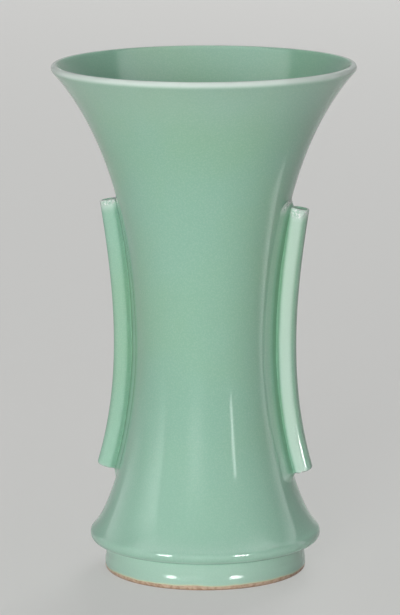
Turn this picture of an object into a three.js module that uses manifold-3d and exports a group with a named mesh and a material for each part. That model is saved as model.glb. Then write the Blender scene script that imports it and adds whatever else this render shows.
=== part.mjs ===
// A gu flower vase in celadon-glazed porcelain, as the six clay members that the potter lutes together:
// the thrown trumpet, the thrown bell under it, the base disc let into the bell, the turned foot ring,
// and two long tubular handles that follow the waist. Millimetres, +Z up, the vase's axis on Z and its
// foot on z = 0. The handles stand on the X axis.

import * as THREE from 'three';
import { mergeVertices } from 'three/addons/utils/BufferGeometryUtils.js';
import Module from 'manifold-3d';

const wasm = await Module();
wasm.setup();

// Overall
const HEIGHT = 280;
const SLIP = 0.3; // thickness of the joining slip between two members

// How finely the curves are stepped
const SEGMENTS = 60; // flats round the vase
const TRUMPET_ROWS = 13;
const BELL_ROWS = 9;
const LEAST_ROW = 1; // least height from a curve's row to a corner of the profile
const SAG_RINGS = 3;
const ROUNDING_STEPS = 6;
const SMALL_ROUNDING_STEPS = 3;
const HANDLE_STEPS = 12;
const HANDLE_EDGE_STEPS = 2;
const TUBE_FLATS = 14;
const BORE_FLATS = 10;
const NECK_STEPS = 3;
const SAME_PLACE = 1e-4; // vertices closer than this are one

// Mouth
const MOUTH_RADIUS = 82.85;
const LIP_ROUNDING = 2.2;
const LIP_LEAN = 41.5; // degrees from upright, where the wall reaches the lip

// Waist: the easing lengths say how far each curve keeps its direction before it turns
const WAIST_RADIUS = 38.1;
const WAIST_HEIGHT = 125;
const WAIST_TO_TRUMPET = 64;
const TRUMPET_TO_LIP = 43;
const WAIST_TO_BELL = 40.6;
const BELL_TO_SHOULDER = 16.7;

// Shoulder, the rounded lower edge of the bell
const SHOULDER_RADIUS = 63.4;
const SHOULDER_HEIGHT = 20.2;
const SHOULDER_ROUNDING = 4.2;
const SHOULDER_LEAN = 44;

// Walls
const WAIST_WALL = 5;
const SHOULDER_WALL = 6;
const LAP = 6; // height of the bell's collar inside the trumpet

// Base disc and the rebate that takes it
const BASE_RADIUS = 53.2;
const BASE_THICKNESS = 4.6;
const BASE_SAG = 0.8;
const LEDGE_RADIUS = 50.4;
const LEDGE_THICKNESS = 2.6;
const LEDGE_FILLET = 2.5;

// Foot ring
const FOOT_RADIUS = 55.3;
const FOOT_WALL_TOP = 7.1;
const FOOT_WALL_BOTTOM = 5.9;
const FOOT_INNER_EDGE = 1.5; // roundings of the two edges that are wiped clean of glaze
const FOOT_OUTER_EDGE = 2.4;

// Handles: an oval tube on a narrow web. Across means along the wall, deep means away from it
const TUBE_HALF_DEPTH = 4.4;
const TUBE_HALF_WIDTH = 5.4;
const TUBE_SQUARENESS = 3.4; // exponent of the oval, 2 for an ellipse
const BORE_HALF_DEPTH = 2.6;
const BORE_HALF_WIDTH = 2;
const BORE_OVERRUN = 2; // how far the bore's cutter runs past each end
const NECK_START = -3.8;
const NECK_NARROWEST = -5.9;
const NECK_HALF_WIDTH = 2.6;
const WEB_ROOT = -9;
const WEB_ROOT_HALF_WIDTH = 4.6;
const WEB_INSIDE_WALL = -14;
const HANDLE_EDGE = 1.1; // rounding of the ends

// Centre line of the tube: its reach from the vase's axis at four evenly spaced heights of control
const HANDLE_LOW = 50;
const HANDLE_HIGH = 208;
const HANDLE_REACH = [58.4, 40.7, 46, 54.8];

// Each handle was rolled and cut by hand, so the two differ a little in length
const HANDLES = [
  { name: 'left_handle', turn: Math.PI, low: 54.7, high: 203.8 },
  { name: 'right_handle', turn: 0, low: 56.8, high: 202.3 },
];

const point = (r, z) => new THREE.Vector2(r, z);
const radians = THREE.MathUtils.degToRad;

// A round stretch of a profile, from one angle to another, in degrees
function arc(centre, radius, from, to, steps) {
  const points = [];
  for (let i = 0; i <= steps; i++) {
    const angle = radians(from + ((to - from) * i) / steps);
    points.push(point(centre.x + radius * Math.cos(angle), centre.y + radius * Math.sin(angle)));
  }
  return points;
}

// The outside of the trumpet, from the waist up to where the lip's rounding takes over
function trumpetCurve() {
  const lean = radians(LIP_LEAN);
  const lip = lipCentre();
  const end = point(lip.x + LIP_ROUNDING * Math.cos(lean), lip.y - LIP_ROUNDING * Math.sin(lean));
  const before = point(end.x - TRUMPET_TO_LIP * Math.sin(lean), end.y - TRUMPET_TO_LIP * Math.cos(lean));
  return new THREE.CubicBezierCurve(
    point(WAIST_RADIUS, WAIST_HEIGHT),
    point(WAIST_RADIUS, WAIST_HEIGHT + WAIST_TO_TRUMPET),
    before,
    end,
  );
}

// The outside of the bell, from the waist down to where the shoulder's rounding takes over
function bellCurve() {
  const lean = radians(SHOULDER_LEAN);
  const centre = shoulderCentre();
  const end = point(
    centre.x + SHOULDER_ROUNDING * Math.cos(lean),
    centre.y + SHOULDER_ROUNDING * Math.sin(lean),
  );
  const before = point(end.x - BELL_TO_SHOULDER * Math.sin(lean), end.y + BELL_TO_SHOULDER * Math.cos(lean));
  return new THREE.CubicBezierCurve(
    point(WAIST_RADIUS, WAIST_HEIGHT),
    point(WAIST_RADIUS, WAIST_HEIGHT - WAIST_TO_BELL),
    before,
    end,
  );
}

function lipCentre() {
  return point(MOUTH_RADIUS - LIP_ROUNDING, HEIGHT - LIP_ROUNDING);
}

function shoulderCentre() {
  return point(SHOULDER_RADIUS - SHOULDER_ROUNDING, SHOULDER_HEIGHT);
}

// Points of a curve moved towards the axis by a wall that changes evenly along it.
// A negative wall moves them outwards
function offsetCurve(curve, steps, wallAtStart, wallAtEnd) {
  const points = [];
  for (let i = 0; i <= steps; i++) {
    const t = i / steps;
    const wall = wallAtStart + (wallAtEnd - wallAtStart) * t;
    const place = curve.getPoint(t);
    const along = curve.getTangent(t);
    const inwards = along.y > 0 ? point(-along.y, along.x) : point(along.y, -along.x);
    points.push(place.addScaledVector(inwards, wall));
  }
  return points;
}

// Radius of a run of profile points at one height
function radiusAt(points, z) {
  for (let i = 1; i < points.length; i++) {
    const a = points[i - 1];
    const b = points[i];
    if ((a.y - z) * (b.y - z) <= 0) return a.x + ((b.x - a.x) * (z - a.y)) / (b.y - a.y);
  }
  throw new Error(`no profile point at height ${z}`);
}

// A closed profile, drawn anticlockwise with the axis on its left, turned about Z
function turned(profile) {
  const closed = profile[0].x === 0 ? profile : [...profile, profile[0].clone()];
  return new THREE.LatheGeometry(closed, SEGMENTS).rotateX(Math.PI / 2);
}

// The upper thrown section, with the rolled lip and the rebate for the bell's collar
function trumpetSection() {
  const outside = offsetCurve(trumpetCurve(), TRUMPET_ROWS, 0, 0);
  const inside = offsetCurve(trumpetCurve(), TRUMPET_ROWS, WAIST_WALL, 2 * LIP_ROUNDING);
  const lip = arc(lipCentre(), LIP_ROUNDING, -LIP_LEAN, 180 - LIP_LEAN, ROUNDING_STEPS).slice(1, -1);
  const seat = WAIST_HEIGHT + SLIP;
  const rebateTop = WAIST_HEIGHT + LAP + SLIP;
  const rebateRadius = WAIST_RADIUS - (WAIST_WALL - SLIP) / 2;
  return turned([
    point(WAIST_RADIUS, seat),
    ...outside.slice(1),
    ...lip,
    ...inside.filter((p) => p.y > rebateTop + LEAST_ROW).reverse(),
    point(radiusAt(inside, rebateTop), rebateTop),
    point(rebateRadius, rebateTop),
    point(rebateRadius, seat),
  ]);
}

// The lower thrown section: collar, bell wall, rounded shoulder, and the rebate for the base disc
function bellSection() {
  const outside = offsetCurve(bellCurve(), BELL_ROWS, 0, 0);
  const inside = offsetCurve(bellCurve(), BELL_ROWS, WAIST_WALL, SHOULDER_WALL);
  const centre = shoulderCentre();
  const underside = centre.y - SHOULDER_ROUNDING;
  const rebateTop = underside + BASE_THICKNESS + SLIP;
  const ledgeTop = rebateTop + LEDGE_THICKNESS;
  const wallFoot = radiusAt(inside, ledgeTop + LEDGE_FILLET);
  const fillet = arc(point(wallFoot - LEDGE_FILLET, ledgeTop + LEDGE_FILLET), LEDGE_FILLET, 0, -90, SMALL_ROUNDING_STEPS);
  const collarTop = WAIST_HEIGHT + LAP;
  const collarRadius = WAIST_RADIUS - (WAIST_WALL + SLIP) / 2;
  return turned([
    ...arc(centre, SHOULDER_ROUNDING, -90, SHOULDER_LEAN, ROUNDING_STEPS).slice(0, -1),
    ...outside.reverse(),
    point(collarRadius, WAIST_HEIGHT),
    point(collarRadius, collarTop),
    point(WAIST_RADIUS - WAIST_WALL, collarTop),
    ...inside.filter((p) => p.y > ledgeTop + LEDGE_FILLET + LEAST_ROW),
    ...fillet,
    point(LEDGE_RADIUS, ledgeTop),
    point(LEDGE_RADIUS, rebateTop),
    point(BASE_RADIUS + SLIP, rebateTop),
    point(BASE_RADIUS + SLIP, underside),
  ]);
}

// The floor of the vase, a slab that is set in from below and sags a little in the fire
function baseDisc() {
  const bottom = shoulderCentre().y - SHOULDER_ROUNDING;
  const top = bottom + BASE_THICKNESS;
  const rim = FOOT_RADIUS - FOOT_WALL_TOP;
  const sagged = (r) => BASE_SAG * (1 - (r / rim) ** 2);
  const radii = Array.from({ length: SAG_RINGS + 1 }, (_, i) => (rim * i) / SAG_RINGS);
  return turned([
    ...radii.map((r) => point(r, bottom - sagged(r))),
    point(BASE_RADIUS, bottom),
    point(BASE_RADIUS, top),
    ...radii.map((r) => point(r, top - sagged(r))).reverse(),
  ]);
}

// The turned foot, whose inner face leans in towards the base
function footRing() {
  const top = shoulderCentre().y - SHOULDER_ROUNDING - SLIP;
  const innerBottom = FOOT_RADIUS - FOOT_WALL_BOTTOM;
  const innerTop = FOOT_RADIUS - FOOT_WALL_TOP;
  const innerCentre = point(innerBottom + FOOT_INNER_EDGE, FOOT_INNER_EDGE);
  const outerCentre = point(FOOT_RADIUS - FOOT_OUTER_EDGE, FOOT_OUTER_EDGE);
  return turned([
    ...arc(innerCentre, FOOT_INNER_EDGE, 180, 270, SMALL_ROUNDING_STEPS),
    ...arc(outerCentre, FOOT_OUTER_EDGE, 270, 360, SMALL_ROUNDING_STEPS),
    point(FOOT_RADIUS, top),
    point(innerTop, top),
  ]);
}

// Section of a handle: an oval tube that necks down to the web and spreads again at the wall.
// x points away from the wall, y runs across
function handleSection() {
  const power = 2 / TUBE_SQUARENESS;
  const oval = (angle) => {
    const c = Math.cos(angle);
    const s = Math.sin(angle);
    const x = TUBE_HALF_DEPTH * Math.sign(c) * Math.abs(c) ** power;
    const y = TUBE_HALF_WIDTH * Math.sign(s) * Math.abs(s) ** power;
    return point(x, y);
  };
  const meeting = Math.PI - Math.acos(Math.abs(NECK_START / TUBE_HALF_DEPTH) ** (1 / power));
  const shape = new THREE.Shape();
  const first = oval(-meeting);
  shape.moveTo(first.x, first.y);
  for (let i = 1; i <= TUBE_FLATS; i++) {
    const p = oval(-meeting + (2 * meeting * i) / TUBE_FLATS);
    shape.lineTo(p.x, p.y);
  }
  const middle = (NECK_NARROWEST + NECK_START) / 2;
  shape.quadraticCurveTo(middle, NECK_HALF_WIDTH, NECK_NARROWEST, NECK_HALF_WIDTH);
  shape.quadraticCurveTo(WEB_ROOT, NECK_HALF_WIDTH, WEB_ROOT, WEB_ROOT_HALF_WIDTH);
  shape.lineTo(WEB_INSIDE_WALL, WEB_ROOT_HALF_WIDTH);
  shape.lineTo(WEB_INSIDE_WALL, -WEB_ROOT_HALF_WIDTH);
  shape.lineTo(WEB_ROOT, -WEB_ROOT_HALF_WIDTH);
  shape.quadraticCurveTo(WEB_ROOT, -NECK_HALF_WIDTH, NECK_NARROWEST, -NECK_HALF_WIDTH);
  shape.quadraticCurveTo(middle, -NECK_HALF_WIDTH, first.x, first.y);
  return shape;
}

function boreSection() {
  return new THREE.Shape().absellipse(0, 0, BORE_HALF_DEPTH, BORE_HALF_WIDTH, 0, 2 * Math.PI);
}

// Bends a straight bar that stands on z = 0 onto the handle's centre line, from height low upwards
function bendOntoCentreLine(geometry, low) {
  const span = HANDLE_HIGH - HANDLE_LOW;
  const controls = HANDLE_REACH.map((reach, i) => point(reach, HANDLE_LOW + (span * i) / 3));
  const centreLine = new THREE.CubicBezierCurve(...controls);
  const places = geometry.attributes.position;
  for (let i = 0; i < places.count; i++) {
    const t = (low + places.getZ(i) - HANDLE_LOW) / span;
    const centre = centreLine.getPoint(t);
    const along = centreLine.getTangent(t);
    const deep = places.getX(i);
    places.setXYZ(i, centre.x + deep * along.y, places.getY(i), centre.y - deep * along.x);
  }
  return geometry;
}

// The round body that a handle is pressed onto, out to the joining slip. It stops short of the
// shoulder and the lip, where no handle reaches
function wallEnvelope() {
  const lower = offsetCurve(bellCurve(), BELL_ROWS, -SLIP, -SLIP).slice(0, -2);
  const upper = offsetCurve(trumpetCurve(), TRUMPET_ROWS, -SLIP, -SLIP).slice(1, -1);
  const bottom = lower[lower.length - 1].y;
  const top = upper[upper.length - 1].y;
  return turned([point(0, bottom), ...lower.reverse(), ...upper, point(0, top)]);
}

// A handle on the +X side, bored from end to end, with its web's foot cut to the wall
function handle(low, high) {
  const bar = new THREE.ExtrudeGeometry(handleSection(), {
    depth: high - low - 2 * HANDLE_EDGE,
    steps: HANDLE_STEPS,
    curveSegments: NECK_STEPS,
    bevelEnabled: true,
    bevelThickness: HANDLE_EDGE,
    bevelSize: HANDLE_EDGE,
    bevelOffset: -HANDLE_EDGE,
    bevelSegments: HANDLE_EDGE_STEPS,
  }).translate(0, 0, HANDLE_EDGE);
  const bore = new THREE.ExtrudeGeometry(boreSection(), {
    depth: high - low + 2 * BORE_OVERRUN,
    steps: HANDLE_STEPS,
    curveSegments: BORE_FLATS,
    bevelEnabled: false,
  }).translate(0, 0, -BORE_OVERRUN);
  const pierced = cut(bendOntoCentreLine(bar, low), bendOntoCentreLine(bore, low));
  return cut(pierced, wallEnvelope());
}

function asManifold(geometry) {
  const bare = geometry.clone();
  bare.deleteAttribute('normal');
  bare.deleteAttribute('uv');
  const merged = mergeVertices(bare, SAME_PLACE);
  return new wasm.Manifold(new wasm.Mesh({
    numProp: 3,
    vertProperties: new Float32Array(merged.attributes.position.array),
    triVerts: new Uint32Array(merged.index.array),
  }));
}

// The first geometry less the second
function cut(geometry, tool) {
  const mesh = asManifold(geometry).subtract(asManifold(tool)).getMesh();
  const result = new THREE.BufferGeometry();
  result.setAttribute('position', new THREE.BufferAttribute(mesh.vertProperties, 3));
  result.setIndex(new THREE.BufferAttribute(mesh.triVerts, 1));
  result.computeVertexNormals();
  return result;
}

const glaze = () => new THREE.MeshStandardMaterial({ color: 0x97c2aa, roughness: 0.12, metalness: 0 });

function member(name, geometry) {
  const mesh = new THREE.Mesh(geometry, glaze());
  mesh.name = name;
  return mesh;
}

const vase = new THREE.Group();
vase.add(member('trumpet_section', trumpetSection()));
vase.add(member('bell_section', bellSection()));
vase.add(member('base_disc', baseDisc()));
vase.add(member('foot_ring', footRing()));
for (const { name, turn, low, high } of HANDLES) {
  const mesh = member(name, handle(low, high));
  mesh.rotation.z = turn;
  vase.add(mesh);
}

export default vase;
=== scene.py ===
# %% [markdown]
# # A celadon vase with tubular handles
#
# This lesson dresses a measured model of a flower vase: a trumpet mouth, a narrow waist, a bell-shaped
# lower body on a foot ring, and two long tubes pressed onto its sides. The measured model is the frame.
# It is loaded first and never changed, and every finer piece made here takes the place of one of its
# nodes. All lengths are in metres, so millimetres are written with a factor.

# %% Load the frame
import math
from bisect import bisect_left

import bmesh
import bpy
from mathutils import Matrix, Vector


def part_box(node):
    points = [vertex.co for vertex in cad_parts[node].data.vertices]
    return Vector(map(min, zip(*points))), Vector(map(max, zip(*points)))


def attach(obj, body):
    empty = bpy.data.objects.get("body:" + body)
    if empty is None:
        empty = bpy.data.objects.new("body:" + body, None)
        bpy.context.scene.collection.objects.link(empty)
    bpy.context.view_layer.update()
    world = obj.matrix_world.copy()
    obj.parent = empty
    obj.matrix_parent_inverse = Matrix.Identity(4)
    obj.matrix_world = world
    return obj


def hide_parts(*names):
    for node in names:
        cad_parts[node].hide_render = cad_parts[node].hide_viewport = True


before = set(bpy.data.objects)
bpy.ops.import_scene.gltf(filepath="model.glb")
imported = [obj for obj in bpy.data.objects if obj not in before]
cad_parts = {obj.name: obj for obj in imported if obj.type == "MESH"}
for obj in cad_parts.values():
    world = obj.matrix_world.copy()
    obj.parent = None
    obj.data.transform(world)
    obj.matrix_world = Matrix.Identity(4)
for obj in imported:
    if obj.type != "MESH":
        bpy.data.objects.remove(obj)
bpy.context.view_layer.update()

MM = 0.001
print("nodes:", sorted(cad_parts))

# %% [markdown]
# ## The camera
#
# The view comes first, because every later choice is judged through it. The vase was photographed from
# about two metres with a long lens, a little above the rim, and with its right handle turned a little
# towards the lens. A point on the vase's axis is looked at, and a small shift puts that point where it
# stands in the picture, which is 400 by 615 pixels.

# %% Camera
LOOK_HEIGHT = 145.2 * MM
CAMERA_DISTANCE = 2098 * MM
CAMERA_TURN = math.radians(13)
CAMERA_RISE = math.radians(10.74)
CAMERA_ROLL = math.radians(-0.17)
LENS = 224.5
FILM_LONG_SIDE = 36
FAR_CLIP = 50
PICTURE_WIDTH, PICTURE_HEIGHT = 400, 615
LOOK_PIXEL = (204.6, 308.0)


def direction(turn, rise):
    """Unit vector from the vase towards a place at an angle round it and an angle above the level."""
    level = math.cos(rise)
    return Vector((math.sin(turn) * level, -math.cos(turn) * level, math.sin(rise)))


look_at = Vector((0, 0, LOOK_HEIGHT))
back = direction(CAMERA_TURN, CAMERA_RISE)
camera = bpy.data.objects.new("camera", bpy.data.cameras.new("camera"))
bpy.context.scene.collection.objects.link(camera)
camera.location = look_at + back * CAMERA_DISTANCE
level_camera = back.to_track_quat("Z", "Y").to_matrix()
camera.rotation_euler = (level_camera @ Matrix.Rotation(CAMERA_ROLL, 3, "Z")).to_euler()
camera.data.sensor_width = FILM_LONG_SIDE
camera.data.lens = LENS
camera.data.shift_x = (PICTURE_WIDTH / 2 - LOOK_PIXEL[0]) / PICTURE_HEIGHT
camera.data.shift_y = (LOOK_PIXEL[1] - PICTURE_HEIGHT / 2) / PICTURE_HEIGHT
camera.data.clip_end = FAR_CLIP
bpy.context.scene.camera = camera
print("camera at", [round(value, 3) for value in camera.location])

# %% [markdown]
# ## Curves of the profile
#
# The vase is thrown on a wheel, so one drawn line describes each section. Two cubic curves leave the
# waist, one up to the lip and one down to the shoulder. They could be drawn by hand as curve objects, but
# a few named lengths say the same thing more plainly: where each curve starts, how far it keeps its
# direction, and the angle at which it arrives. Radii and heights that the frame already knows are read
# from it.

# %% Driving sizes of the wall
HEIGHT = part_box("trumpet_section")[1].z
MOUTH_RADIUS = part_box("trumpet_section")[1].x
LIP_ROUNDING = 2.2 * MM
LIP_LEAN = math.radians(41.5)
WAIST_RADIUS = 38.1 * MM
WAIST_HEIGHT = 125 * MM
WAIST_TO_TRUMPET = 64 * MM
TRUMPET_TO_LIP = 43 * MM
WAIST_TO_BELL = 40.6 * MM
BELL_TO_SHOULDER = 16.7 * MM
SHOULDER_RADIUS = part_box("bell_section")[1].x
SHOULDER_HEIGHT = 20.2 * MM
SHOULDER_ROUNDING = 4.2 * MM
SHOULDER_LEAN = math.radians(44)
UNDERSIDE = SHOULDER_HEIGHT - SHOULDER_ROUNDING
WAIST_WALL = 5 * MM
SHOULDER_WALL = 6 * MM
LAP = 6 * MM
LAP_GAP = 0.1 * MM
print("mouth radius", round(MOUTH_RADIUS / MM, 2), "shoulder radius", round(SHOULDER_RADIUS / MM, 2))


# %% Points on curves and round stretches
def on_curve(controls, share):
    """Point and direction at a share of a cubic curve, by repeated mixing of its control points."""
    points = list(controls)
    while len(points) > 2:
        points = [a.lerp(b, share) for a, b in zip(points, points[1:])]
    return points[0].lerp(points[1], share), (points[1] - points[0]).normalized()


def wall_points(controls, rows, wall_at_start, wall_at_end):
    """Points along a curve, moved towards the axis by a wall that changes evenly along it."""
    points = []
    for row in range(rows + 1):
        share = row / rows
        place, along = on_curve(controls, share)
        inwards = Vector((-along.y, along.x)) if along.y > 0 else Vector((along.y, -along.x))
        points.append(place + inwards * (wall_at_start + (wall_at_end - wall_at_start) * share))
    return points


def round_points(centre, radius, start, end, steps):
    """Points on a round stretch of a profile between two angles in degrees."""
    angles = [math.radians(start + (end - start) * step / steps) for step in range(steps + 1)]
    return [centre + Vector((math.cos(angle), math.sin(angle))) * radius for angle in angles]


# %% The two curves
lip_centre = Vector((MOUTH_RADIUS - LIP_ROUNDING, HEIGHT - LIP_ROUNDING))
lip_start = lip_centre + Vector((math.cos(LIP_LEAN), -math.sin(LIP_LEAN))) * LIP_ROUNDING
shoulder_centre = Vector((SHOULDER_RADIUS - SHOULDER_ROUNDING, SHOULDER_HEIGHT))
shoulder_outwards = Vector((math.cos(SHOULDER_LEAN), math.sin(SHOULDER_LEAN)))
shoulder_end = shoulder_centre + shoulder_outwards * SHOULDER_ROUNDING
waist = Vector((WAIST_RADIUS, WAIST_HEIGHT))

TRUMPET_CURVE = [
    waist,
    waist + Vector((0, WAIST_TO_TRUMPET)),
    lip_start - Vector((math.sin(LIP_LEAN), math.cos(LIP_LEAN))) * TRUMPET_TO_LIP,
    lip_start,
]
BELL_CURVE = [
    waist,
    waist - Vector((0, WAIST_TO_BELL)),
    shoulder_end + Vector((-math.sin(SHOULDER_LEAN), math.cos(SHOULDER_LEAN))) * BELL_TO_SHOULDER,
    shoulder_end,
]
print("trumpet curve ends at", [round(value / MM, 1) for value in lip_start])
print("bell curve ends at", [round(value / MM, 1) for value in shoulder_end])

# %% [markdown]
# ## Glaze thickness, kept on the mesh
#
# Celadon is a thick glassy coat on white clay. Where it runs thin, on a lip or a sharp edge, the clay
# shows through and the colour turns pale. Where it gathers, in a corner or under a ledge, it turns deep
# green. The same marks also paint light and shade here: some pale places are painted highlights on lit
# edges, and the deep green in corners, grooves, under the ledge and inside is partly painted shade. A
# material could guess those places from how the surface bends, but the shape itself knows them best, so
# each vertex carries one number, `glaze_depth_and_light`: minus one is thin or lit, nought is the usual
# coat and one is a pool or shade. The material reads it later.

# %% From a bmesh to a finished piece
DOUBLES_WITHIN = 0.001 * MM
SHARP_ANGLE = math.radians(35)
GLAZE_DEPTH_AND_LIGHT = "glaze_depth_and_light"


def finished_piece(name, mesh, node, depth_at=None):
    """Turns a bmesh into a smooth object that stands for a node of the frame.

    Where the mesh has no glaze depths yet, depth_at gives the depth at a vertex.
    """
    bmesh.ops.remove_doubles(mesh, verts=mesh.verts, dist=DOUBLES_WITHIN)
    bmesh.ops.recalc_face_normals(mesh, faces=mesh.faces)
    if depth_at:
        mesh.normal_update()
        layer = mesh.verts.layers.float.new(GLAZE_DEPTH_AND_LIGHT)
        for vertex in mesh.verts:
            vertex[layer] = depth_at(vertex)
    for face in mesh.faces:
        face.smooth = True
    data = bpy.data.meshes.new(name)
    mesh.to_mesh(data)
    mesh.free()
    data.set_sharp_from_angle(angle=SHARP_ANGLE)
    piece = bpy.data.objects.new(name, data)
    bpy.context.scene.collection.objects.link(piece)
    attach(piece, "root")
    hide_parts(node)
    sides = [round(side / MM, 1) for side in piece.dimensions]
    print(name, "has", len(data.polygons), "faces and measures", sides, "mm")
    return piece


# %% [markdown]
# ## Thrown sections
#
# A potter throws the trumpet and the bell as two sections and laps them at the waist. The same thing is
# done here: a closed profile is drawn as a ring of edges and spun about the upright axis. A spin is
# chosen over a Screw modifier because its result is plain geometry that can be measured at once.

# %% Spinning a profile
SPIN_STEPS = 160


def spun(profile):
    """A profile of radius and height, spun a full turn. One that starts on the axis stays open there."""
    mesh = bmesh.new()
    ring = [mesh.verts.new((point.x, 0, point.y)) for point in profile]
    closing = [] if profile[0].x == 0 else [(ring[-1], ring[0])]
    edges = [mesh.edges.new(pair) for pair in list(zip(ring, ring[1:])) + closing]
    bmesh.ops.spin(
        mesh,
        geom=ring + edges,
        cent=(0, 0, 0),
        axis=(0, 0, 1),
        angle=2 * math.pi,
        steps=SPIN_STEPS,
        use_merge=True,
    )
    return mesh


def eased(value, start, end):
    """Goes smoothly from nought at start to one at end."""
    share = min(max((value - start) / (end - start), 0), 1)
    return share * share * (3 - 2 * share)


print("a section is spun in", SPIN_STEPS, "steps")

# %% The trumpet's profile
TRUMPET_ROWS = 96
LIP_STEPS = 20
CORNER_ROOM = 0.5 * MM


def trumpet_profile():
    """Up the outside, over the rolled lip, down the inside and round the rebate of the lap joint."""
    outside = wall_points(TRUMPET_CURVE, TRUMPET_ROWS, 0, 0)
    inside = wall_points(TRUMPET_CURVE, TRUMPET_ROWS, WAIST_WALL, 2 * LIP_ROUNDING)
    lean = math.degrees(LIP_LEAN)
    lip = round_points(lip_centre, LIP_ROUNDING, -lean, 180 - lean, LIP_STEPS)[1:-1]
    rebate_top = WAIST_HEIGHT + LAP + LAP_GAP
    rebate_radius = WAIST_RADIUS - WAIST_WALL / 2
    inner_wall = [point for point in inside if point.y > rebate_top + CORNER_ROOM]
    rebate = [
        Vector((WAIST_RADIUS - WAIST_WALL, rebate_top)),
        Vector((rebate_radius, rebate_top)),
        Vector((rebate_radius, WAIST_HEIGHT)),
    ]
    return outside + lip + inner_wall[::-1] + rebate


print("trumpet profile has", len(trumpet_profile()), "points")

# %% The trumpet and its glaze
LIP_EDGE_OUT, LIP_EDGE_DOWN = 1.2 * MM, 0.6 * MM
LIP_THINNEST_WITHIN = 0.8 * MM
LIP_THIN_REACH = 3.4 * MM
# The flare faces down, and its paleness is painted light.
FLARE_PAINTED_LIGHT = 0.24
FLARE_LOW, FLARE_HIGH = 225 * MM, 275 * MM
# The inside of the mouth and the bore of each handle are darkened as painted shade.
INSIDE_SHADE_DEPTH = 0.3


def trumpet_glaze_and_light(vertex):
    """Thinnest on the lip's outer edge, pale on the flare below it as painted light, and darker inside as
    painted shade.
    """
    place = vertex.co
    radius = math.hypot(place.x, place.y)
    from_edge = math.hypot(radius - lip_centre.x - LIP_EDGE_OUT, place.z - HEIGHT + LIP_EDGE_DOWN)
    lip = 1 - eased(from_edge, LIP_THINNEST_WITHIN, LIP_THIN_REACH)
    flare = -FLARE_PAINTED_LIGHT * eased(place.z, FLARE_LOW, FLARE_HIGH)
    faces_out = vertex.normal.x * place.x + vertex.normal.y * place.y > 0
    return (flare if faces_out else INSIDE_SHADE_DEPTH) * (1 - lip) - lip


trumpet = finished_piece("trumpet_with_lip", spun(trumpet_profile()), "trumpet_section", trumpet_glaze_and_light)

# %% The bell's profile
BELL_ROWS = 84
SHOULDER_STEPS = 24
BASE_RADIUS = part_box("base_disc")[1].x
BASE_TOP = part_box("base_disc")[1].z
LEDGE_RADIUS = 50.4 * MM
LEDGE_TOP = BASE_TOP + 2.9 * MM
LEDGE_FILLET = 2.5 * MM
LEDGE_STEPS = 6


def bell_profile():
    """Round the shoulder, up the outside, over the collar, down the inside and round the base's rebate."""
    outside = wall_points(BELL_CURVE, BELL_ROWS, 0, 0)
    inside = wall_points(BELL_CURVE, BELL_ROWS, WAIST_WALL, SHOULDER_WALL)
    inner_wall = [point for point in inside if point.y > LEDGE_TOP + LEDGE_FILLET + CORNER_ROOM]
    lean = math.degrees(SHOULDER_LEAN)
    shoulder = round_points(shoulder_centre, SHOULDER_ROUNDING, -90, lean, SHOULDER_STEPS)
    collar_radius = WAIST_RADIUS - WAIST_WALL / 2 - LAP_GAP
    collar = [
        Vector((collar_radius, WAIST_HEIGHT)),
        Vector((collar_radius, WAIST_HEIGHT + LAP)),
        Vector((WAIST_RADIUS - WAIST_WALL, WAIST_HEIGHT + LAP)),
    ]
    corner = Vector((inner_wall[-1].x - LEDGE_FILLET, LEDGE_TOP + LEDGE_FILLET))
    fillet = round_points(corner, LEDGE_FILLET, 0, -90, LEDGE_STEPS)
    rebate = [
        Vector((LEDGE_RADIUS, LEDGE_TOP)),
        Vector((LEDGE_RADIUS, BASE_TOP + LAP_GAP)),
        Vector((BASE_RADIUS + LAP_GAP, BASE_TOP + LAP_GAP)),
        Vector((BASE_RADIUS + LAP_GAP, UNDERSIDE)),
    ]
    return shoulder[:-1] + outside[::-1] + collar + inner_wall + fillet + rebate


print("bell profile has", len(bell_profile()), "points")

# %% The bell and its glaze
FOOT_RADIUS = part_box("foot_ring")[1].x
# The deep colour beside the foot is partly a glaze pool and partly painted shade under the ledge.
POOL_AND_SHADE_REACH = 2.2 * MM
UNDERSIDE_BAND = 0.5 * MM
SHOULDER_BAND = 3 * SHOULDER_ROUNDING
SHOULDER_THINNESS = 0.2
# The pale lower edge is partly thin glaze and partly painted light.
LOWER_EDGE_THIN_AND_LIT = 0.35
LOWER_EDGE_START, LOWER_EDGE_END = 0.8 * MM, 2.4 * MM


def bell_glaze_and_light(vertex):
    """A pool under the bell beside the foot, partly painted shade, and a thin coat on the shoulder's turn
    and lower edge, the lower edge also painted light.
    """
    place = vertex.co
    radius = math.hypot(place.x, place.y)
    if place.z < UNDERSIDE + UNDERSIDE_BAND:
        return 1 - eased(radius - FOOT_RADIUS, 0, 2 * POOL_AND_SHADE_REACH)
    if radius < SHOULDER_RADIUS - SHOULDER_BAND:
        return 0
    from_turn = math.hypot(radius - SHOULDER_RADIUS, place.z - SHOULDER_HEIGHT)
    turn = 1 - eased(from_turn, 0, SHOULDER_ROUNDING)
    lower_edge = 1 - eased(place.z - UNDERSIDE, LOWER_EDGE_START, LOWER_EDGE_END)
    return -SHOULDER_THINNESS * turn - LOWER_EDGE_THIN_AND_LIT * lower_edge


bell = finished_piece("bell_with_shoulder", spun(bell_profile()), "bell_section", bell_glaze_and_light)

# %% [markdown]
# ## Base and foot
#
# The floor of the vase is a slab set in from below, and the foot ring is turned from thick clay. Both
# could be cut out of the bell with booleans, but they are separate members on the wheel too, so each is
# spun from a profile of its own. The foot's wall draws in by a few tenths of a millimetre in a soft roll
# below the bell, and glaze rounds off the corner there. The corner is a small hollow curve, so it catches
# light as glass does.

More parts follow.
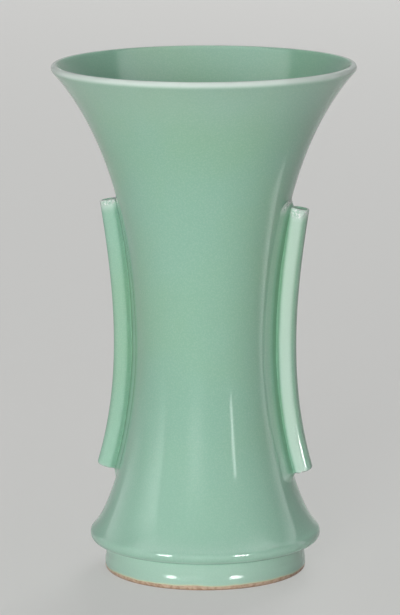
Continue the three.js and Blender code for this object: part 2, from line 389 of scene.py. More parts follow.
# %% The base disc
BASE_THICKNESS = 4.6 * MM
BASE_SAG = 0.8 * MM
SAG_RINGS = 12
FOOT_WALL_TOP = 7.1 * MM
BASE_DEPTH = 0.2


def base_profile():
    """Out along the sagging underside, up the edge, and back along the top."""
    rim = FOOT_RADIUS - FOOT_WALL_TOP
    bottom = BASE_TOP - BASE_THICKNESS
    radii = [rim * ring / SAG_RINGS for ring in range(SAG_RINGS + 1)]
    sag = [BASE_SAG * (1 - (radius / rim) ** 2) for radius in radii]
    under = [Vector((radius, bottom - drop)) for radius, drop in zip(radii, sag)]
    over = [Vector((radius, BASE_TOP - drop)) for radius, drop in zip(radii, sag)]
    return under + [Vector((BASE_RADIUS, bottom)), Vector((BASE_RADIUS, BASE_TOP))] + over[::-1]


base = finished_piece("base_slab", spun(base_profile()), "base_disc", lambda vertex: BASE_DEPTH)

# %% The foot's profile
FOOT_WALL_BOTTOM = 5.9 * MM
FOOT_ROWS = 30
FOOT_INNER_EDGE, INNER_EDGE_STEPS = 1.5 * MM, 6
FOOT_OUTER_EDGE, OUTER_EDGE_STEPS = 2.4 * MM, 10
JOIN_FILLET, JOIN_STEPS = 0.7 * MM, 8
JOIN_OVERLAP = 0.05 * MM
FOOT_TAPER = 0.3 * MM
ROLL_DEPTH = 0.42 * MM
ROLL_START, ROLL_END = 5 * MM, 9 * MM


def foot_profile():
    """Round both edges of the resting face, up the outside, through the hollow corner, and in on top."""
    inner_bottom = FOOT_RADIUS - FOOT_WALL_BOTTOM
    inner_top = FOOT_RADIUS - FOOT_WALL_TOP
    top = UNDERSIDE + JOIN_OVERLAP
    inner_centre = Vector((inner_bottom + FOOT_INNER_EDGE, FOOT_INNER_EDGE))
    outer_centre = Vector((FOOT_RADIUS - FOOT_OUTER_EDGE, FOOT_OUTER_EDGE))
    wall = []
    for row in range(1, FOOT_ROWS + 1):
        share = row / FOOT_ROWS
        height = FOOT_OUTER_EDGE + (top - JOIN_FILLET - FOOT_OUTER_EDGE) * share
        drawn_in = FOOT_TAPER * share**2 + ROLL_DEPTH * eased(height, ROLL_START, ROLL_END)
        wall.append(Vector((FOOT_RADIUS - drawn_in, height)))
    join_centre = Vector((wall[-1].x + JOIN_FILLET, top - JOIN_FILLET))
    return (
        round_points(inner_centre, FOOT_INNER_EDGE, 180, 270, INNER_EDGE_STEPS)
        + round_points(outer_centre, FOOT_OUTER_EDGE, 270, 360, OUTER_EDGE_STEPS)
        + wall
        + round_points(join_centre, JOIN_FILLET, 180, 90, JOIN_STEPS)[1:]
        + [Vector((inner_top, top))]
    )


print("foot profile has", len(foot_profile()), "points")

# %% The foot and its glaze
# Deep colour in the corner under the bell: partly a glaze pool, partly painted shade.
CORNER_POOL_AND_SHADE = 1.4
CORNER_TO_WALL = 1.7


def foot_glaze_and_shade(vertex):
    """A pool in the corner under the bell, partly painted shade, and a thinner coat than usual below it.
    """
    return CORNER_POOL_AND_SHADE - CORNER_TO_WALL * eased(UNDERSIDE - vertex.co.z, 0, POOL_AND_SHADE_REACH)


foot = finished_piece("foot_with_bare_edge", spun(foot_profile()), "foot_ring", foot_glaze_and_shade)

# %% [markdown]
# ## Tubular handles
#
# Each handle is a rolled oval tube that stands on a narrow web, follows the waist, and is cut square at
# both ends so that its bore shows. A curve with a bevel could sweep the oval, but it couldn't give the
# rounded ends and the bore as one skin. So one closed ring of edges, the section, is extruded along a
# curved centre line. It runs up the outside, turns in over the rounded end, and comes back down the bore.
# The tube is squarer towards the wall than it is outside. Both handles are made on the +X side, and the
# left one is then turned round.

# %% Sizes of the handles
TUBE_OUTSIDE_DEPTH = 4.4 * MM
TUBE_WALL_SIDE_DEPTH = 5.3 * MM
TUBE_HALF_WIDTH = 5.4 * MM
OUTSIDE_SQUARENESS = 2.35
WALL_SIDE_SQUARENESS = 3.4
BORE_HALF_DEPTH = 2.6 * MM
BORE_HALF_WIDTH = 2 * MM
NECK_START = -4.7 * MM
NECK_NARROWEST = -6.2 * MM
NECK_HALF_WIDTH = 2.6 * MM
WEB_FOOT = -10 * MM
TOP_EDGE = 0.9 * MM
BOTTOM_EDGE = 1.7 * MM
BORE_EDGE = 0.5 * MM
HANDLE_CURVE = [
    Vector((58.4 * MM, 50 * MM)),
    Vector((40.7 * MM, 102.667 * MM)),
    Vector((46 * MM, 155.333 * MM)),
    Vector((54.8 * MM, 208 * MM)),
]
CURVE_LOW, CURVE_HIGH = HANDLE_CURVE[0].y, HANDLE_CURVE[3].y
OVAL_STEPS = 56
NECK_STEPS = 6
HANDLE_ROWS = 90
EDGE_STEPS = 6
print("a tube is", round(2 * TUBE_HALF_WIDTH / MM, 1), "mm wide")


# %% The section of a handle
def tube_point(angle):
    """A point of the squared oval, away from the wall and across it."""
    deep, across = math.cos(angle), math.sin(angle)
    power = 2 / (OUTSIDE_SQUARENESS if deep > 0 else WALL_SIDE_SQUARENESS)
    half_depth = TUBE_OUTSIDE_DEPTH if deep > 0 else TUBE_WALL_SIDE_DEPTH
    return Vector((
        half_depth * math.copysign(abs(deep) ** power, deep),
        TUBE_HALF_WIDTH * math.copysign(abs(across) ** power, across),
    ))


def handle_section():
    """Points round a handle, from one side of the web's foot over the tube to the other side."""
    meeting = math.pi - math.acos((-NECK_START / TUBE_WALL_SIDE_DEPTH) ** (WALL_SIDE_SQUARENESS / 2))
    oval = [tube_point(meeting * (2 * step / OVAL_STEPS - 1)) for step in range(OVAL_STEPS + 1)]
    bend = Vector(((NECK_NARROWEST + NECK_START) / 2, NECK_HALF_WIDTH))
    narrow = Vector((NECK_NARROWEST, NECK_HALF_WIDTH))
    side = []
    for step in range(1, NECK_STEPS + 1):
        share = step / NECK_STEPS
        side.append(oval[-1].lerp(bend, share).lerp(bend.lerp(narrow, share), share))
    for deep in ((NECK_NARROWEST + WEB_FOOT) / 2, WEB_FOOT):
        side.append(Vector((deep, NECK_HALF_WIDTH)))
    other_side = [Vector((point.x, -point.y)) for point in side[::-1]]
    return other_side + oval + side


def section_normals(points):
    """Outward directions of a closed section, from the neighbours of each point."""
    normals = []
    for before, after in zip([points[-1]] + points[:-1], points[1:] + [points[0]]):
        along = (after - before).normalized()
        normals.append(Vector((along.y, -along.x)))
    return normals


section = handle_section()
outward = section_normals(section)
bore = [
    Vector((BORE_HALF_DEPTH * math.cos(angle), BORE_HALF_WIDTH * math.sin(angle)))
    for angle in (math.atan2(point.y, point.x) for point in section)
]
print("handle section has", len(section), "points")


# %% Bending the straight bar onto its centre line
def bent(along, deep, across):
    """Place in space of a point of the straight bar, given by height, depth off the centre and width."""
    centre, way = on_curve(HANDLE_CURVE, (along - CURVE_LOW) / (CURVE_HIGH - CURVE_LOW))
    return Vector((centre.x + deep * way.y, across, centre.y - deep * way.x))


def rounded_end(kind, height, way, radius):
    """Rings of a quarter round. They leave the bar at a height, and go up or down by the radius."""
    turn = [math.radians(90 * step / EDGE_STEPS) for step in range(EDGE_STEPS + 1)]
    return [(kind, height + way * radius * math.sin(a), radius * (1 - math.cos(a))) for a in turn]


def handle_rings(low, high):
    """Every ring of a handle in order: up the outside, over the end, and down the bore."""
    shares = [row / HANDLE_ROWS for row in range(1, HANDLE_ROWS)]
    body_low, body_high = low + BOTTOM_EDGE, high - TOP_EDGE
    bore_low, bore_high = low + BORE_EDGE, high - BORE_EDGE
    return (
        rounded_end("outside", body_low, -1, BOTTOM_EDGE)[::-1]
        + [("outside", body_low + (body_high - body_low) * share, 0) for share in shares]
        + rounded_end("outside", body_high, 1, TOP_EDGE)
        + rounded_end("bore", bore_high, 1, BORE_EDGE)[::-1]
        + [("bore", bore_high - (bore_high - bore_low) * share, 0) for share in shares]
        + rounded_end("bore", bore_low, -1, BORE_EDGE)
    )


def ring_places(kind, along, step):
    """Places of one ring. The outside is drawn in by the step, and the bore is let out by it."""
    if kind == "outside":
        flat = [point - normal * step for point, normal in zip(section, outward)]
    else:
        flat = [point * (1 + step / point.length) for point in bore]
    return [bent(along, point.x, point.y) for point in flat]


print("a bar", round((CURVE_HIGH - CURVE_LOW) / MM), "mm tall is bent")

# %% Glaze on a handle
# The pale tops of the handles are partly thin glaze and partly a painted highlight.
TOP_THIN_AND_HIGHLIGHT, TOP_THIN_REACH = 0.75, 8 * MM
BOTTOM_THINNESS, BOTTOM_THIN_REACH = 0.5, 2 * MM
# The groove's deep colour is partly a glaze pool and partly painted shade.
GROOVE_POOL_AND_SHADE = 0.5
GROOVE_START, GROOVE_END = 4.6 * MM, 6.2 * MM
# Pale crests are partly thin glaze and partly a painted highlight, more so on the right handle.
CREST_START = 0.7 * TUBE_HALF_WIDTH


def handle_glaze_and_light(point, along, low, high, crest_thin_and_highlight):
    """Pale at the cut ends and front and back crests, partly painted highlight; deep in the web's groove,
    partly painted shade.
    """
    top = TOP_THIN_AND_HIGHLIGHT * (1 - eased(high - along, 0, TOP_THIN_REACH))
    end = top + BOTTOM_THINNESS * (1 - eased(along - low, 0, BOTTOM_THIN_REACH))
    groove = eased(-point.x, GROOVE_START, GROOVE_END)
    crest = eased(abs(point.y), CREST_START, TUBE_HALF_WIDTH)
    return GROOVE_POOL_AND_SHADE * groove * (1 - end) - end - crest_thin_and_highlight * crest * (1 - groove) * (1 - end)


print("the pale top of a handle is", round(TOP_THIN_REACH / MM), "mm long")


# %% Extruding the rings
def tube_mesh(low, high, crest_thin_and_highlight):
    """A handle without its slip. A number on each vertex keeps every new ring in the section's order."""
    mesh = bmesh.new()
    order = mesh.verts.layers.int.new("order")
    depth = mesh.verts.layers.float.new(GLAZE_DEPTH_AND_LIGHT)
    rings = handle_rings(low, high)
    first = [mesh.verts.new(place) for place in ring_places(*rings[0])]
    for number, vertex in enumerate(first):
        vertex[order] = number
        vertex[depth] = -1
    first_edges = [mesh.edges.new(pair) for pair in zip(first, first[1:] + first[:1])]
    edges = first_edges
    for kind, along, step in rings[1:]:
        made = bmesh.ops.extrude_edge_only(mesh, edges=edges)["geom"]
        vertices = [item for item in made if isinstance(item, bmesh.types.BMVert)]
        vertices.sort(key=lambda vertex: vertex[order])
        for vertex, place, point in zip(vertices, ring_places(kind, along, step), section):
            vertex.co = place
            outside = handle_glaze_and_light(point, along, low, high, crest_thin_and_highlight)
            vertex[depth] = outside if kind == "outside" else INSIDE_SHADE_DEPTH
        ring = set(vertices)
        edges = [item for item in made if isinstance(item, bmesh.types.BMEdge)]
        edges = [edge for edge in edges if ring.issuperset(edge.verts)]
    bmesh.ops.bridge_loops(mesh, edges=edges + first_edges)
    return mesh


print("a handle is extruded through", len(handle_rings(CURVE_LOW, CURVE_HIGH)), "rings")

# %% [markdown]
# ## The slip round each web
#
# A handle isn't stood on the wall like a brick. Slip is smoothed into the corner and glaze runs over it,
# so the web spreads and dies away on the wall. A bevel could round the corner, but the wall curves both
# ways there, so a hollow sweep is laid on the wall point by point, all round the web's foot. It is
# thickest at the neck and runs out wide at the sides. The colour is deep at the neck, partly a glaze
# pool and partly painted shade under the tube, and pale on the sweep, which is painted light. Along the
# sweep's rim it is paler still on the left handle, a painted highlight, and deep on the right one, a
# painted dark line in the crease. The slip's top is pale too, partly thin glaze and partly painted glints.

# %% Where the wall lies under a handle
WALL_SAMPLES = 200
SEARCH_INSIDE, SEARCH_OUTSIDE = -20 * MM, -3 * MM
SEARCH_HALVINGS = 20
wall_line = wall_points(BELL_CURVE, WALL_SAMPLES, 0, 0)[::-1]
wall_line += wall_points(TRUMPET_CURVE, WALL_SAMPLES, 0, 0)[1:]
wall_heights = [point.y for point in wall_line]


def wall_radius(height):
    """Radius of the outer wall at a height, between the nearest two samples of its line."""
    after = bisect_left(wall_heights, height)
    low, high = wall_line[after - 1], wall_line[after]
    return low.x + (high.x - low.x) * (height - low.y) / (high.y - low.y)


def wall_depth(along, across):
    """Depth at which a line through the bar, square to its centre line, meets the wall."""
    inside, outside = SEARCH_INSIDE, SEARCH_OUTSIDE
    for _ in range(SEARCH_HALVINGS):
        middle = (inside + outside) / 2
        place = bent(along, middle, across)
        if math.hypot(place.x, place.y) > wall_radius(place.z):
            outside = middle
        else:
            inside = middle
    return middle


print("wall under the tube at mid height:", round(wall_depth(WAIST_HEIGHT, 0) / MM, 2), "mm")

# %% The outline of the web's foot
OUTLINE_CORNER, OUTLINE_STEPS = 1.2 * MM, 6
OUTLINE_ROWS = 80


def web_outline(low, high):
    """Places and outward directions round the web's foot, in height and width of the straight bar."""
    corner = [math.radians(90 * step / OUTLINE_STEPS) for step in range(OUTLINE_STEPS + 1)]
    reach, length = NECK_HALF_WIDTH - OUTLINE_CORNER, high - low - 2 * OUTLINE_CORNER
    rows = [low + OUTLINE_CORNER + length * row / OUTLINE_ROWS for row in range(1, OUTLINE_ROWS)]
    outline = []
    for side, heights, end in ((1, rows, high), (-1, rows[::-1], low)):
        outline += [(height, side * NECK_HALF_WIDTH, 0, side) for height in heights]
        for turn in (1, -1):
            middle = (end - side * OUTLINE_CORNER, turn * side * reach)
            for angle in corner[::turn]:
                way = (side * math.sin(angle), turn * side * math.cos(angle))
                place = [centre + step * OUTLINE_CORNER for centre, step in zip(middle, way)]
                outline.append((*place, *way))
    return outline


print("web outline has", len(web_outline(0, CURVE_HIGH - CURVE_LOW)), "places")

# %% The slip's sweep
SLIP_SPREAD = 10.4 * MM
SLIP_END_SPREAD = 4 * MM
SLIP_HEIGHT = 2.5 * MM
SLIP_HOLLOW = 1.4
SLIP_SUNK = 0.03 * MM
SLIP_STEPS = 14
HEEL_SHARE, HEEL_SUNK = -0.1, 0.9 * MM
# Deep at the neck: partly a glaze pool, partly painted shade under the tube.
NECK_POOL_AND_SHADE = 0.5
NECK_POOL_AND_SHADE_START, NECK_POOL_AND_SHADE_END = 0.2, 0.5
# Paler on the sweep, and paler or deeper along the rim: painted light and shade.
SWEEP_START, SWEEP_FULL = 0.3, 0.55
RIM_START = 0.88
# A pale top to the slip: partly thin glaze, partly painted glints.
SLIP_TOP_THIN_AND_GLINT, SLIP_TOP_THIN_REACH = 0.5, 5 * MM


def slip_section(sweep_light, rim_light_and_shade):
    """Share of the spread, height above the wall, and glaze depth with painted light and shade, of each
    point of the slip.
    """
    points = []
    for step in range(SLIP_STEPS + 1):
        share = step / SLIP_STEPS
        up = SLIP_HEIGHT * (1 - share) ** SLIP_HOLLOW - SLIP_SUNK
        rim = eased(share, RIM_START, 1)
        sweep = eased(share, SWEEP_START, SWEEP_FULL) * (1 - rim)
        neck = 1 - eased(share, NECK_POOL_AND_SHADE_START, NECK_POOL_AND_SHADE_END)
        points.append((share, up, NECK_POOL_AND_SHADE * neck + sweep_light * sweep + rim_light_and_shade * rim))
    return points + [(HEEL_SHARE, -HEEL_SUNK, 1)]


def add_slip(mesh, low, high, sweep_light, rim_light_and_shade):
    """Lays the slip's section on the wall at every place of the outline and bridges the sections."""
    depth = mesh.verts.layers.float[GLAZE_DEPTH_AND_LIGHT]
    loops = []
    for along, across, way_along, way_across in web_outline(low, high):
        thin_and_glinting_top = SLIP_TOP_THIN_AND_GLINT * eased(along, high - SLIP_TOP_THIN_REACH, high)
        loop = []
        for share, up, pool in slip_section(sweep_light, rim_light_and_shade):
            up_place = along + way_along * share * SLIP_END_SPREAD
            side_place = across + way_across * share * SLIP_SPREAD
            deep = wall_depth(up_place, side_place) + up
            vertex = mesh.verts.new(bent(up_place, deep, side_place))
            vertex[depth] = pool - thin_and_glinting_top
            loop.append(vertex)
        loops.append([mesh.edges.new(pair) for pair in zip(loop, loop[1:] + loop[:1])])
    for one, two in zip(loops, loops[1:] + loops[:1]):
        bmesh.ops.bridge_loops(mesh, edges=one + two)


print("slip section has", len(slip_section(0, 0)), "points")

# %% Both handles
# Each row gives the node, the low and the high end, the turn about the axis, how thin the glaze is along
# the crests, which is partly a painted highlight, and the glaze depths of the slip's sweep and rim, which
# paint light and shade.
HANDLES = {
    "left_tube_handle": ("left_handle", 54.7 * MM, 203.8 * MM, math.pi, 0.16, (-0.26, -0.5)),
    "right_tube_handle": ("right_handle", 56.8 * MM, 202.3 * MM, 0, 0.5, (-0.22, 0.35)),
}
handles = []
for name, (node, low, high, turn, crest_thin_and_highlight, slip_light_and_shade) in HANDLES.items():
    mesh = tube_mesh(low, high, crest_thin_and_highlight)
    add_slip(mesh, low, high, *slip_light_and_shade)
    bmesh.ops.rotate(mesh, verts=mesh.verts, cent=(0, 0, 0), matrix=Matrix.Rotation(turn, 3, "Z"))
    handles.append(finished_piece(name, mesh, node))

# %% [markdown]
# ## Shader arithmetic
#
# A material is a sum in which some numbers change over the surface. Written as nodes, a sum is hard to
# read, so a small class wraps a node's output and gives it the usual signs. `1 - mask` then adds one
# Math node by itself. Every other node comes from one method that takes a type, settings and sockets.

# %% Colours and wires
def colour(red, green, blue):
    """An eight-bit screen colour as the linear colour that a shader works with."""
    parts = [value / 255 for value in (red, green, blue)]
    return tuple(p / 12.92 if p <= 0.04045 else ((p + 0.055) / 1.055) ** 2.4 for p in parts) + (1,)


class Wire:
    """An output of a node, which can be added, subtracted, multiplied and eased."""

    def __init__(self, finish, socket):
        self.finish = finish
        self.socket = socket

    def maths(self, operation, first, second):
        return self.finish.node("ShaderNodeMath", {"operation": operation}, {0: first, 1: second})

    def __add__(self, other):
        return self.maths("ADD", self, other)

    def __sub__(self, other):
        return self.maths("SUBTRACT", self, other)

    def __rsub__(self, other):
        return self.maths("SUBTRACT", other, self)

    def __mul__(self, other):
        return self.maths("MULTIPLY", self, other)

    def __neg__(self):
        return self * -1

    __radd__ = __add__
    __rmul__ = __mul__

    def smooth(self, start, end):
        """Goes from nought at start to one at end, with soft ends."""
        return self.finish.node(
            "ShaderNodeMapRange",
            {"interpolation_type": "SMOOTHSTEP"},
            {"Value": self, "From Min": start, "From Max": end},
        )


print("mid grey is", round(colour(128, 128, 128)[0], 3), "in linear light")

# %% Finishes
SHOWN_RAYS = ("Is Camera Ray", "Is Glossy Ray", "Is Transmission Ray")


class Finish:
    """The nodes of a material, a lamp or the room, and the ways to add to them."""

    def __init__(self, owner):
        owner.use_nodes = True
        self.owner = owner
        self.tree = owner.node_tree
        self.tree.nodes.clear()

    def node(self, kind, settings=None, sockets=None, output=0):
        """A new node. Its settings are set first, and then its sockets get their values or wires."""
        node = self.tree.nodes.new(kind)
        for name, value in (settings or {}).items():
            setattr(node, name, value)
        for name, value in (sockets or {}).items():
            if isinstance(value, Wire):
                self.tree.links.new(value.socket, node.inputs[name])
            else:
                node.inputs[name].default_value = value
        return Wire(self, node.outputs[output]) if node.outputs else None

    def place(self):
        """Object coordinates in metres."""
        return self.node("ShaderNodeTexCoord", output="Object")

    def height(self):
        """Height above the table in metres."""
        return self.node("ShaderNodeSeparateXYZ", None, {"Vector": self.place()}, output="Z")

    def noise(self, lumps, detail=2):
        """Soft noise between nought and one, with so many lumps to the metre."""
        sockets = {"Vector": self.place(), "Scale": lumps, "Detail": detail}
        return self.node("ShaderNodeTexNoise", None, sockets)

    def patches(self, lumps, detail, start, full):
        """Noise that is nought up to one of its values and one from another."""
        return self.noise(lumps, detail).smooth(start, full)

    def attribute(self, name):
        """A number that the mesh keeps on its vertices."""
        return self.node("ShaderNodeAttribute", {"attribute_name": name}, output="Fac")

    def mix(self, share, first, second):
        """A colour between two, by a share from nought to one. Mix has its colour sockets by number."""
        return self.node("ShaderNodeMix", {"data_type": "RGBA"}, {0: share, 6: first, 7: second}, output=2)

    def bump(self, height):
        """A normal bent by a height in metres."""
        return self.node("ShaderNodeBump", None, {"Strength": 1, "Distance": 1, "Height": height})

    def seen(self):
        """One where the camera, a mirror or glass looks, and nought where light falls."""
        camera_ray, glossy_ray, clear_ray = [
            self.node("ShaderNodeLightPath", output=name) for name in SHOWN_RAYS
        ]
        return camera_ray + glossy_ray + clear_ray

    def surface(self, **sockets):
        """Ends the material in one glossy surface."""
        names = {name.replace("_", " "): value for name, value in sockets.items()}
        shader = self.node("ShaderNodeBsdfPrincipled", None, names)
        self.node("ShaderNodeOutputMaterial", None, {"Surface": shader})
        return self.owner


print("rays that show the room as it looks:", SHOWN_RAYS)

# %% [markdown]
# ## The glaze
#
# Four things make celadon look deep and not painted: the pale edges and deep pools that the mesh already
# knows, slow clouds from the kiln's flame, fine bubbles hung in the glass, and a skin that isn't quite
# flat, so reflections waver. The pale edges and deep pools also carry painted highlights and painted
# shade. The coat is also a little paler low on the body, which is painted light, and where it is
# thinnest, at the tops of the handles, it is mottled, flecked with white and pitted; the white flecks
# are partly painted glints. A painted picture could hold all this, but arithmetic stays sharp at any
# distance. The roughness stays low and the index of refraction is that of glass.

# %% Glaze colours
# Thin glaze is pale, and the same colour also paints highlights on lit edges and crests.
THIN_GLAZE_AND_HIGHLIGHT = colour(224, 239, 230)
# White flecks at the handles' tops: partly clay showing through thin glaze, partly painted glints.
FLECK_AND_GLINT = colour(248, 252, 248)
USUAL_GLAZE = colour(150, 197, 174)
GREENER_GLAZE = colour(150, 196, 166)
# Painted light: the glaze is paler low on the body, where the bell catches more light.
LOW_BODY_PAINTED_LIGHT = colour(162, 208, 186)
# Deep green where glaze pools, also painting shade in grooves, hollows, under the ledge and inside.
POOL_AND_SHADE_GLAZE = colour(104, 152, 122)
PALER_BELOW, USUAL_ABOVE = 15 * MM, 110 * MM
BUBBLE_SHARE = 0.09
MOTTLE_SHARE = 0.5
TOPS_THIN, TOPS_THINNEST = 0.54, 0.74
TOPS_END, LIP_BEGINS = 206 * MM, 212 * MM

# Patterns: lumps to the metre, detail, and the noise where the pattern starts and where it is full.
CLOUDS = (14, 3, 0.35, 0.7)
BUBBLES = (1300, 1, 0.4, 0.7)
MOTTLES = (520, 2, 0.42, 0.6)
FLECKS_AND_GLINTS = (750, 2, 0.52, 0.6)


def handle_top(finish):
    """One where the coat is thinnest at the tops of the handles, and nought from the lip's height up."""
    thin = (-finish.attribute(GLAZE_DEPTH_AND_LIGHT)).smooth(TOPS_THIN, TOPS_THINNEST)
    return thin * (1 - finish.height().smooth(TOPS_END, LIP_BEGINS))


def glaze_colour(finish):
    """The usual coat, with one layer after another mixed over it."""
    depth = finish.attribute(GLAZE_DEPTH_AND_LIGHT)
    tops = handle_top(finish)
    layers = [
        (finish.patches(*CLOUDS), GREENER_GLAZE),
        (1 - finish.height().smooth(PALER_BELOW, USUAL_ABOVE), LOW_BODY_PAINTED_LIGHT),
        (finish.patches(*BUBBLES) * BUBBLE_SHARE, THIN_GLAZE_AND_HIGHLIGHT),
        ((-depth).smooth(0, 1), THIN_GLAZE_AND_HIGHLIGHT),
        (depth.smooth(0, 1), POOL_AND_SHADE_GLAZE),
        (finish.patches(*MOTTLES) * tops * MOTTLE_SHARE, USUAL_GLAZE),
        (finish.patches(*FLECKS_AND_GLINTS) * tops, FLECK_AND_GLINT),
    ]
    coat = USUAL_GLAZE
    for share, layer in layers:
        coat = finish.mix(share, coat, layer)
    return coat


print("usual glaze in linear light:", [round(part, 3) for part in USUAL_GLAZE[:3]])

# %% Glaze skin
GLASS_INDEX = 1.5
GLOSSIEST, GLOSS_RANGE, GLOSS_LUMPS = 0.07, 0.06, 90
WAVE_HEIGHT, WAVE_LUMPS = 0.05 * MM, 40
DIMPLE_HEIGHT, DIMPLE_LUMPS = 0.003 * MM, 420
PIT_DEPTH, PIT_LUMPS = 0.9 * MM, 800


def glaze_skin(finish):
    """Height of the glaze's surface in metres: slow waves, fine dimples, and pits at the handles' tops."""
    waves = finish.noise(WAVE_LUMPS, detail=1) * WAVE_HEIGHT
    dimples = finish.noise(DIMPLE_LUMPS) * DIMPLE_HEIGHT
    pits = finish.noise(PIT_LUMPS) * handle_top(finish) * PIT_DEPTH
    return waves + dimples + pits


def glaze_roughness(finish):
    """Low, and uneven by patches of about a centimetre."""
    return finish.noise(GLOSS_LUMPS) * GLOSS_RANGE + GLOSSIEST


def glaze_finish():
    """The glaze of every piece but the foot."""
    finish = Finish(bpy.data.materials.new("celadon_over_clay"))
    return finish.surface(
        Base_Color=glaze_colour(finish),
        Roughness=glaze_roughness(finish),
        IOR=GLASS_INDEX,
        Normal=finish.bump(glaze_skin(finish)),
    )


glaze = glaze_finish()
print(glaze.name, "has", len(glaze.node_tree.nodes), "nodes")

# %% [markdown]
# ## The foot's bare edge
#
# Below an uneven line the glaze was wiped off, or it would stick the foot to the kiln shelf. The clay
# there is matt and burnt to a pale orange, darker towards the table, because iron in it turned in the
# last hour of firing, and a cream rim marks the thin end of the glaze. Two meshes could meet at the line,
# but one material with a mask lets it wander.

# %% Foot recipe
BARE_HEIGHT = 2.6 * MM
BARE_WANDER, WANDER_LUMPS = 1.8 * MM, 70
GLAZE_STEP = 0.25 * MM
LINE_BELOW, LINE_ABOVE = -0.1 * MM, 0.15 * MM
CREAM_RIM = colour(232, 224, 186)
CREAM_BAND, CREAM_SHARE = 1.2 * MM, 0.8
BURNT_CLAY = colour(214, 186, 162)
DARK_CLAY = colour(180, 144, 116)
DARK_SHARE = 0.8
DARKEST_BELOW, LIGHTER_ABOVE = 0.2 * MM, 1.5 * MM
BURNS = (420, 4, 0.4, 0.7)
CLAY_ROUGHNESS = 0.6
GRAIN_HEIGHT, GRAIN_LUMPS = 0.04 * MM, 2600


def foot_finish():
    """Glaze down to a wandering line, and bare clay below it."""
    finish = Finish(bpy.data.materials.new("celadon_and_bare_clay"))
    wander = (finish.noise(WANDER_LUMPS, detail=3) - 0.5) * BARE_WANDER
    above_line = finish.height() - wander - BARE_HEIGHT
    bare = 1 - above_line.smooth(LINE_BELOW, LINE_ABOVE)
    cream = 1 - above_line.smooth(0, CREAM_BAND)
    burnt = finish.patches(*BURNS) + 1 - finish.height().smooth(DARKEST_BELOW, LIGHTER_ABOVE)
    clay = finish.mix(burnt * DARK_SHARE, BURNT_CLAY, DARK_CLAY)
    coat = finish.mix(cream * CREAM_SHARE, glaze_colour(finish), CREAM_RIM)
    grain = finish.noise(GRAIN_LUMPS, detail=3) * bare * GRAIN_HEIGHT
    return finish.surface(
        Base_Color=finish.mix(bare, coat, clay),
        Roughness=bare * CLAY_ROUGHNESS + glaze_roughness(finish),
        IOR=GLASS_INDEX,
        Normal=finish.bump(glaze_skin(finish) + (1 - bare) * GLAZE_STEP + grain),
    )


bare_foot = foot_finish()
print(bare_foot.name, "has", len(bare_foot.node_tree.nodes), "nodes")

# %% Put the finishes on
foot.data.materials.append(bare_foot)
for piece in (trumpet, bell, base, *handles):
    piece.data.materials.append(glaze)
print("materials:", [item.name for item in bpy.data.materials if item.users])

# %% [markdown]
# ## Floor and light
#
# The floor is a plain pale sheet that runs past the picture's edge. Glaze is a mirror as much as a
# colour, so the lamps have two jobs, and one large lamp for both would let neither be set alone. A front
# panel, a back panel and a ceiling light the form, and the glaze doesn't mirror them. Panels that fade
# towards their edges, overhead and at both sides, are only mirrored, and so are a strip for the streak on
# the body, two cards for the marks on shoulder and foot, and small cards at the ends of the handles.

# %% The floor
FLOOR_HALF, FLOOR_CELLS = 6, 8
PALE = colour(212, 212, 210)
FLOOR_GLOW = 0.6


def floor_finish():
    """Matt, but partly glowing where it is looked at, so it is pale and keeps the vase's shadow."""
    finish = Finish(bpy.data.materials.new("pale_floor"))
    matt = finish.node("ShaderNodeBsdfDiffuse", None, {"Color": PALE})
    glow = finish.node("ShaderNodeEmission", None, {"Color": PALE, "Strength": 1})
    share = finish.seen() * FLOOR_GLOW
    shown = finish.node("ShaderNodeMixShader", None, {0: share, 1: matt, 2: glow})
    finish.node("ShaderNodeOutputMaterial", None, {"Surface": shown})
    return finish.owner


floor_mesh = bmesh.new()
bmesh.ops.create_grid(floor_mesh, x_segments=FLOOR_CELLS, y_segments=FLOOR_CELLS, size=FLOOR_HALF)
floor_data = bpy.data.meshes.new("floor")
floor_mesh.to_mesh(floor_data)
floor_mesh.free()
floor = bpy.data.objects.new("floor", floor_data)
floor.data.materials.append(floor_finish())
bpy.context.scene.collection.objects.link(floor)
print("the floor is", round(floor.dimensions.x), "m wide")

# %% The room's light
WORLD_LIGHT = 0.06
WORLD_SHOWN = 0.5


def room_light():
    """A dim even light, behind which a brighter wall shows where the room is looked at."""
    finish = Finish(bpy.data.worlds.new("room"))
    strength = finish.seen().smooth(0, 1) * (WORLD_SHOWN - WORLD_LIGHT) + WORLD_LIGHT
    sky = finish.node("ShaderNodeBackground", None, {"Strength": strength})
    finish.node("ShaderNodeOutputWorld", None, {"Surface": sky})
    return finish.owner


bpy.context.scene.world = room_light()
print("the room shows", round(WORLD_SHOWN / WORLD_LIGHT, 1), "times as bright as it lights")


# %% Making a lamp
def soften(light, fades):
    """Lets a panel fade towards its edges, as cloth in front of a lamp does.

    The fades are shares of the panel: from its left, its right, its bottom and its top.
    """
    finish = Finish(light)
    panel = finish.node("ShaderNodeNewGeometry", output="Parametric")
    x, y = [finish.node("ShaderNodeSeparateXYZ", None, {"Vector": panel}, output=axis) for axis in "XY"]
    strength = 1
    for part, fade in zip((x, 1 - x, y, 1 - y), fades):
        strength = strength * part.smooth(0, fade)
    glow = finish.node("ShaderNodeEmission", None, {"Strength": strength})
    finish.node("ShaderNodeOutputLight", None, {"Surface": glow})


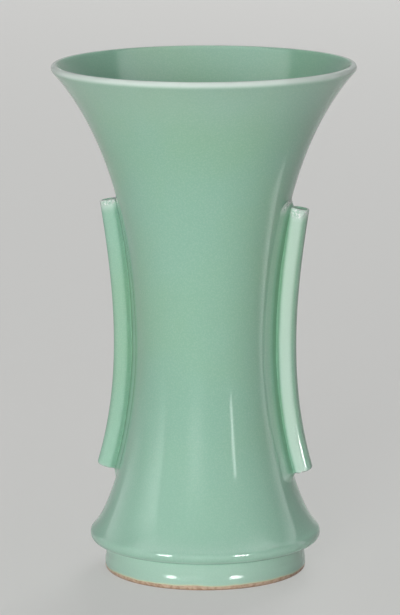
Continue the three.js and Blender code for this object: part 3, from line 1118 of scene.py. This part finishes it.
def lamp(name, place, aim, size, watts, mirrored=True, spread=180, fades=None):
    """A rectangular lamp. The glaze mirrors it, or else it lights the form."""
    light = bpy.data.lights.new(name, "AREA")
    light.shape = "RECTANGLE"
    light.size, light.size_y = size
    light.energy = watts
    light.spread = math.radians(spread)
    if fades:
        soften(light, fades)
    stand = bpy.data.objects.new(name, light)
    stand.location = place
    stand.rotation_euler = (place - aim).to_track_quat("Z", "Y").to_euler()
    stand.visible_diffuse = not mirrored
    stand.visible_glossy = mirrored
    stand.visible_camera = False
    bpy.context.scene.collection.objects.link(stand)
    print(name, "stands at", [round(value, 2) for value in place])


def around(turn, rise, distance, centre=look_at):
    """A place seen from a centre, at angles in degrees. The turn is counted from the camera's."""
    return centre + direction(CAMERA_TURN + math.radians(turn), math.radians(rise)) * distance


# %% Lamps that light the form
front, behind, above = around(-14, 8, 4.5), around(165, 30, 6), Vector((0, 0, 1.8))
lamp("front_panel", front, look_at, size=(2.0, 2.0), watts=12.4, mirrored=False, spread=40)
lamp("back_panel", behind, look_at, size=(2.6, 2.6), watts=190, mirrored=False)
lamp("ceiling", above, look_at, size=(2.0, 2.0), watts=6, mirrored=False)

# %% Panels in the mirror
overhead, right_side = around(0, 73, 1.75), around(100, 10, 0.36)
left_near, left_far = around(-77, 12, 0.8), around(-112, 18, 0.8)
lamp("ceiling_seen", overhead, look_at, size=(5.2, 2.4), watts=66, fades=(0.12, 0.12, 0.6, 0.14))
lamp("left_panel_seen", left_near, look_at, size=(0.52, 0.6), watts=1.7, fades=(0.9, 0.1, 0.3, 0.5))
lamp("far_panel_seen", left_far, look_at, size=(0.5, 0.8), watts=1.3, fades=(0.06, 0.9, 0.12, 0.6))
lamp("right_panel_seen", right_side, look_at, size=(0.14, 0.5), watts=0.3, fades=(0.9, 0.1, 0.1, 0.4))

# %% The strip and the cards
card_centre = Vector((0, 0, 14 * MM))
card_aim = Vector((0, 0, -8 * MM))
for name, turn in (("left_card", -39), ("right_card", 34)):
    lamp(name, around(turn, 6, 0.3, card_centre), card_aim, size=(0.09, 0.09), watts=0.018, spread=24)
lamp("right_strip", around(41, 3, 1.3), look_at, size=(0.08, 0.3), watts=0.5)

# %% Small cards at the ends of the handles
SMALL_CARD_DISTANCE = 150 * MM


def small_card(name, aim, turn, rise, size, watts, spread):
    """A small card near one end of a handle, which only that end mirrors."""
    lamp(name, around(turn, rise, SMALL_CARD_DISTANCE, aim), aim, size, watts, spread=spread)


right_low, right_top, left_top = [
    Vector(place) * MM for place in ((51, -5, 72), (45, -8, 202), (-50, -7, 204))
]
small_card("handle_card", right_low, 36, -4, size=(0.016, 0.02), watts=0.002, spread=24)
small_card("right_top_card", right_top, 12, 25, size=(0.03, 0.03), watts=0.0004, spread=14)
small_card("left_top_card", left_top, -14, 25, size=(0.03, 0.03), watts=0.0004, spread=14)

# %% View settings
bpy.context.scene.view_settings.view_transform = "Standard"
